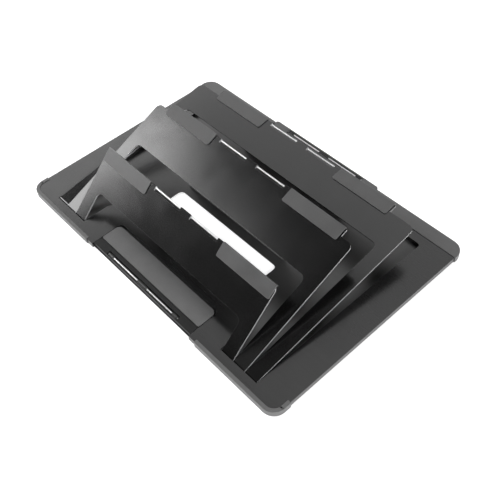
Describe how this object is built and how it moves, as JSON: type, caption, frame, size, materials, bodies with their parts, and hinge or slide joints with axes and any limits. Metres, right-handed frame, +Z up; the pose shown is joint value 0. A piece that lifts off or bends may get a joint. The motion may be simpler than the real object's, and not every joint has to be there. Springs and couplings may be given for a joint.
{
  "type": "laptop stand",
  "caption": "Flat folding laptop stand with nested flaps on prop legs, a flip-up front stopper and a fold-down rear leg.",
  "frame": {"origin": "centre of the footprint, rear bar included, at the height of the desk it stands on", "axes": "+X to the right of someone sitting at the stand, +Y to the rear, +Z up"},
  "size_m": [0.31, 0.2128, 0.0557],
  "materials": {
    "frame_metal": "satin",
    "dark_metal": "satin",
    "bar_plastic": "satin",
    "grip_rubber": "matte",
    "pin_steel": "polished"
  },
  "bodies": {
    "base": {"bottom_tray": "frame_metal", "top_frame": "frame_metal", "tray_screws": "pin_steel", "left_hinge_pin": "pin_steel", "right_hinge_pin": "pin_steel", "bumper_front_left": "grip_rubber", "bumper_front_right": "grip_rubber", "bumper_rear": "grip_rubber"},
    "small_flap": {"flap_small": "frame_metal", "small_pad_left": "grip_rubber", "small_pad_right": "grip_rubber", "small_rod": "pin_steel"},
    "middle_flap": {"flap_middle": "frame_metal", "middle_pad_left": "grip_rubber", "middle_pad_right": "grip_rubber", "middle_rod": "pin_steel"},
    "large_flap": {"flap_large": "frame_metal", "large_pad_left": "grip_rubber", "large_pad_right": "grip_rubber", "large_rod": "pin_steel"},
    "small_leg": {"leg_small": "dark_metal", "foot_small": "grip_rubber"},
    "middle_leg": {"leg_middle": "dark_metal", "foot_middle": "grip_rubber"},
    "large_leg": {"leg_large": "dark_metal", "foot_large": "grip_rubber"},
    "stopper_plate": {"stopper": "dark_metal", "stopper_pad": "grip_rubber", "stopper_rod": "pin_steel"},
    "rear_riser": {"rear_leg": "bar_plastic", "rear_leg_foot": "grip_rubber", "rear_rod": "pin_steel"}
  },
  "joints": [
    {"name": "small_flap_lift", "type": "hinge", "parent": "base", "child": "small_flap", "pos_m": [0, -0.09395, 0.0037], "axis": [1, 0, 0], "range_deg": [-44.2, 0]},
    {"name": "middle_flap_lift", "type": "hinge", "parent": "base", "child": "middle_flap", "pos_m": [0, -0.09395, 0.0037], "axis": [1, 0, 0], "range_deg": [-23.1, 0]},
    {"name": "large_flap_lift", "type": "hinge", "parent": "base", "child": "large_flap", "pos_m": [0, -0.09395, 0.0037], "axis": [1, 0, 0], "range_deg": [-9.9, 0]},
    {"name": "small_leg_fold", "type": "hinge", "parent": "small_flap", "child": "small_leg", "pos_m": [0, -0.04935, 0.04791], "axis": [1, 0, 0], "range_deg": [-31.81, 0], "deforming": ["foot_small"]},
    {"name": "middle_leg_fold", "type": "hinge", "parent": "middle_flap", "child": "middle_leg", "pos_m": [0, 0.01969, 0.05282], "axis": [1, 0, 0], "range_deg": [-40.91, 0], "deforming": ["foot_middle"]},
    {"name": "large_leg_fold", "type": "hinge", "parent": "large_flap", "child": "large_leg", "pos_m": [0, 0.07657, 0.03407], "axis": [1, 0, 0], "range_deg": [-52.61, 0], "deforming": ["foot_large"]},
    {"name": "stopper_flip", "type": "hinge", "parent": "base", "child": "stopper_plate", "pos_m": [0, -0.10105, 0.004], "axis": [1, 0, 0], "range_deg": [0, 95]},
    {"name": "rear_leg_fold", "type": "hinge", "parent": "base", "child": "rear_riser", "pos_m": [0, 0.10385, 0.004], "axis": [1, 0, 0], "range_deg": [0, 105]}
  ],
  "couplings": [
    {"joint": "small_leg_fold", "follows": "small_flap_lift", "ratio": 0.71946},
    {"joint": "middle_leg_fold", "follows": "middle_flap_lift", "ratio": 1.7706},
    {"joint": "large_leg_fold", "follows": "large_flap_lift", "ratio": 5.3131}
  ]
}
